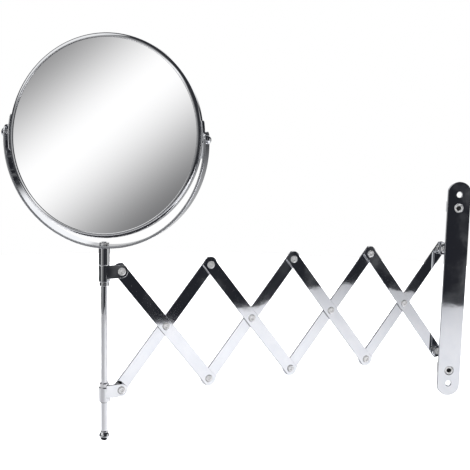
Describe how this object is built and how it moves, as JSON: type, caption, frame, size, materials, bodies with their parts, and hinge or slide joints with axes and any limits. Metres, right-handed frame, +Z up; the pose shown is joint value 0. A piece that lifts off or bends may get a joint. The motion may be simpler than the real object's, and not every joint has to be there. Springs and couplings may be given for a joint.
{
  "type": "extendable shaving mirror",
  "caption": "Wall-mounted round shaving mirror, plain on one face and magnifying on the other, in a tilting yoke on an extending scissor arm.",
  "frame": {"origin": "centre of the wall plate's mounting face, on the face that sits against the wall", "axes": "+Z up along the wall plate and rods; -Y into the wall, so +Y is the room side; +X along the wall, away from the side the arm is stored on. The stored pose is the pictured one, with the part off its wall: the arm is turned 22.5 degrees past the plate plane to the -Y side, and joint arm_swing brings it to the room side."},
  "size_m": [0.4292, 0.1731, 0.3428],
  "materials": {
    "chrome": "polished chrome plate",
    "rod_chrome": "polished chrome rod",
    "rivet_metal": "nickel-plated rivet",
    "washer_plastic": "thin plastic washer",
    "mirror_glass": "silvered glass",
    "backing": "card and plastic packing inside the rim"
  },
  "bodies": {
    "wall_bracket": {"wall_plate": "chrome", "bracket_rivets": "rivet_metal", "rod_block_lower": "chrome", "rod_block_upper": "chrome", "wall_rod": "rod_chrome", "wall_rod_stop_ring": "rod_chrome"},
    "lower_wall_sleeve": {"sleeve_lower_wall": "chrome", "sleeve_rim_lower_wall": "rod_chrome"},
    "upper_wall_sleeve": {"sleeve_upper_wall": "chrome", "sleeve_rim_upper_wall": "rod_chrome"},
    "front_link_1": {"link_front_1": "chrome", "link_rivets_1": "rivet_metal", "lug_rivet_lower_wall": "rivet_metal", "lug_washer_lower_wall": "washer_plastic"},
    "front_link_2": {"link_front_2": "chrome", "link_rivets_2": "rivet_metal"},
    "front_link_3": {"link_front_3": "chrome", "link_rivets_3": "rivet_metal"},
    "front_link_4": {"link_front_4": "chrome", "link_rivets_4": "rivet_metal", "lug_rivet_upper_mirror": "rivet_metal", "lug_washer_upper_mirror": "washer_plastic"},
    "back_link_1": {"link_back_1": "chrome", "link_washers_1": "washer_plastic", "lug_rivet_upper_wall": "rivet_metal", "lug_spacer_upper_wall": "washer_plastic"},
    "back_link_2": {"link_back_2": "chrome", "link_washers_2": "washer_plastic"},
    "back_link_3": {"link_back_3": "chrome", "link_washers_3": "washer_plastic"},
    "back_link_4": {"link_back_4": "chrome", "link_washers_4": "washer_plastic", "lug_rivet_lower_mirror": "rivet_metal", "lug_spacer_lower_mirror": "washer_plastic"},
    "upper_mirror_sleeve": {"sleeve_upper_mirror": "chrome", "sleeve_rim_upper_mirror": "rod_chrome"},
    "lower_mirror_sleeve": {"sleeve_lower_mirror": "chrome", "sleeve_rim_lower_mirror": "rod_chrome"},
    "mirror_stem": {"mirror_rod": "rod_chrome", "ball_end": "chrome", "neck_sleeve": "chrome", "yoke": "chrome", "yoke_nut": "chrome"},
    "mirror_head": {"mirror_rim": "chrome", "mirror_plain": "mirror_glass", "separator_disc": "backing", "mirror_magnifying": "mirror_glass", "glass_spacer_ring": "backing", "pivot_saddles": "chrome", "pivot_bushes": "chrome", "pivot_screws": "chrome"}
  },
  "joints": [
    {"name": "arm_swing", "type": "hinge", "parent": "wall_bracket", "child": "lower_wall_sleeve", "pos_m": [0, 0.0155, -0.06305], "axis": [0, 0, 1], "range_deg": [-225, 0]},
    {"name": "arm_extend", "type": "hinge", "parent": "lower_wall_sleeve", "child": "front_link_1", "pos_m": [-0.01275, 0.01022, -0.06305], "axis": [-0.3827, 0.9239, 0], "range_deg": [-36.3, 23.7]},
    {"name": "cross_1", "type": "hinge", "parent": "front_link_1", "child": "back_link_1", "pos_m": [-0.05087, -0.00557, -0.01154], "axis": [-0.3827, 0.9239, 0], "range_deg": [-47.4, 72.6]},
    {"name": "lug_upper_wall", "type": "hinge", "parent": "back_link_1", "child": "upper_wall_sleeve", "pos_m": [-0.01275, 0.01022, 0.03997], "axis": [-0.3827, 0.9239, 0], "range_deg": [-36.3, 23.7]},
    {"name": "top_1", "type": "hinge", "parent": "front_link_1", "child": "back_link_2", "pos_m": [-0.089, -0.02136, 0.03997], "axis": [-0.3827, 0.9239, 0], "range_deg": [-47.4, 72.6]},
    {"name": "cross_2", "type": "hinge", "parent": "back_link_2", "child": "front_link_2", "pos_m": [-0.12712, -0.03716, -0.01154], "axis": [-0.3827, 0.9239, 0], "range_deg": [-72.6, 47.4]},
    {"name": "bottom_2", "type": "hinge", "parent": "back_link_2", "child": "front_link_3", "pos_m": [-0.16525, -0.05295, -0.06305], "axis": [-0.3827, 0.9239, 0], "range_deg": [-72.6, 47.4]},
    {"name": "cross_3", "type": "hinge", "parent": "front_link_3", "child": "back_link_3", "pos_m": [-0.20337, -0.06874, -0.01154], "axis": [-0.3827, 0.9239, 0], "range_deg": [-47.4, 72.6]},
    {"name": "top_3", "type": "hinge", "parent": "front_link_3", "child": "back_link_4", "pos_m": [-0.2415, -0.08453, 0.03997], "axis": [-0.3827, 0.9239, 0], "range_deg": [-47.4, 72.6]},
    {"name": "cross_4", "type": "hinge", "parent": "back_link_4", "child": "front_link_4", "pos_m": [-0.27962, -0.10032, -0.01154], "axis": [-0.3827, 0.9239, 0], "range_deg": [-72.6, 47.4]},
    {"name": "lug_upper_mirror", "type": "hinge", "parent": "front_link_4", "child": "upper_mirror_sleeve", "pos_m": [-0.31775, -0.11612, 0.03997], "axis": [-0.3827, 0.9239, 0], "range_deg": [-23.7, 36.3]},
    {"name": "lug_lower_mirror", "type": "hinge", "parent": "back_link_4", "child": "lower_mirror_sleeve", "pos_m": [-0.31775, -0.11612, -0.06305], "axis": [-0.3827, 0.9239, 0], "range_deg": [-36.3, 23.7]},
    {"name": "mirror_swivel", "type": "hinge", "parent": "upper_mirror_sleeve", "child": "mirror_stem", "pos_m": [-0.3305, -0.1214, 0.03997], "axis": [0, 0, 1], "continuous": true},
    {"name": "mirror_tilt", "type": "hinge", "parent": "mirror_stem", "child": "mirror_head", "pos_m": [-0.3305, -0.1214, 0.15267], "axis": [0.9563, -0.2924, 0], "continuous": true}
  ],
  "couplings": [
    {"joint": "cross_1", "follows": "arm_extend", "ratio": -2},
    {"joint": "lug_upper_wall", "follows": "arm_extend", "ratio": 1},
    {"joint": "top_1", "follows": "arm_extend", "ratio": -2},
    {"joint": "cross_2", "follows": "arm_extend", "ratio": 2},
    {"joint": "bottom_2", "follows": "arm_extend", "ratio": 2},
    {"joint": "cross_3", "follows": "arm_extend", "ratio": -2},
    {"joint": "top_3", "follows": "arm_extend", "ratio": -2},
    {"joint": "cross_4", "follows": "arm_extend", "ratio": 2},
    {"joint": "lug_upper_mirror", "follows": "arm_extend", "ratio": -1},
    {"joint": "lug_lower_mirror", "follows": "arm_extend", "ratio": 1}
  ]
}
